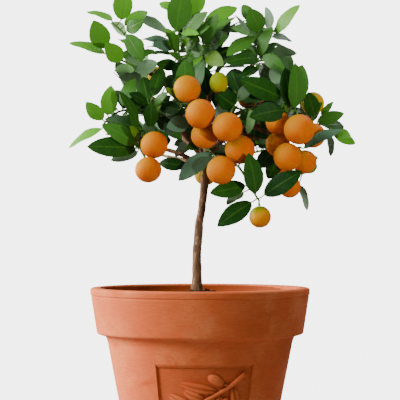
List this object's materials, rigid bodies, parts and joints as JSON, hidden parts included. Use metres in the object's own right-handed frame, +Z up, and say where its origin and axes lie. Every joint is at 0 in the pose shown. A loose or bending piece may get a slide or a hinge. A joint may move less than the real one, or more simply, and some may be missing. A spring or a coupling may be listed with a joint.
{
  "type": "potted orange tree",
  "caption": "Small citrus tree with a bare stem and a round fruiting crown, growing in soil in a turned terracotta pot with a collar and a sprig panel.",
  "frame": {"origin": "middle of the pot's underside", "axes": "+Z up along the pot's axis; the pot's panel faces -Y; +X is to the right as seen from the front"},
  "size_m": [0.3113, 0.2593, 0.534],
  "materials": {
    "terracotta": "fired, unglazed, matt",
    "soil": "loose moist compost",
    "bark": "rough bark",
    "leaf": "waxy living leaf",
    "fruit": "waxy dimpled peel"
  },
  "bodies": {
    "root": {"pot": "terracotta", "soil": "soil", "trunk": "bark", "spray_left_high": "leaf", "spray_left_upper": "leaf", "spray_crown_top": "leaf", "spray_crown_top_right": "leaf", "spray_right_high": "leaf", "spray_right_upper": "leaf", "spray_right_mid": "leaf", "spray_right_tip": "leaf", "spray_right_low": "leaf", "spray_hanging": "leaf", "spray_front_right": "leaf", "spray_front_left": "leaf", "spray_front_low": "leaf", "spray_left_low": "leaf", "spray_left_inner": "leaf", "spray_left_tip": "leaf", "spray_back_top": "leaf", "spray_back_left": "leaf", "spray_back_right": "leaf", "spray_back_low": "leaf", "spray_left_back": "leaf", "spray_right_back": "leaf", "spray_top_back": "leaf", "spray_low_left_back": "leaf", "spray_low_right_back": "leaf", "fruit_01": "fruit", "fruit_02": "fruit", "fruit_03": "fruit", "fruit_04": "fruit", "fruit_05": "fruit", "fruit_06": "fruit", "fruit_07": "fruit", "fruit_08": "fruit", "fruit_09": "fruit", "fruit_10": "fruit", "fruit_11": "fruit", "fruit_12": "fruit", "fruit_13": "fruit", "fruit_14": "fruit", "fruit_15": "fruit", "fruit_16": "fruit", "fruit_17": "fruit", "fruit_18": "fruit", "fruit_19": "fruit", "fruit_20": "fruit", "fruit_21": "fruit", "fruit_22": "fruit", "fruit_23": "fruit", "fruit_24": "fruit", "fruit_25": "fruit", "fruit_26": "fruit", "fruit_27": "fruit", "fruit_28": "fruit"}
  },
  "joints": []
}
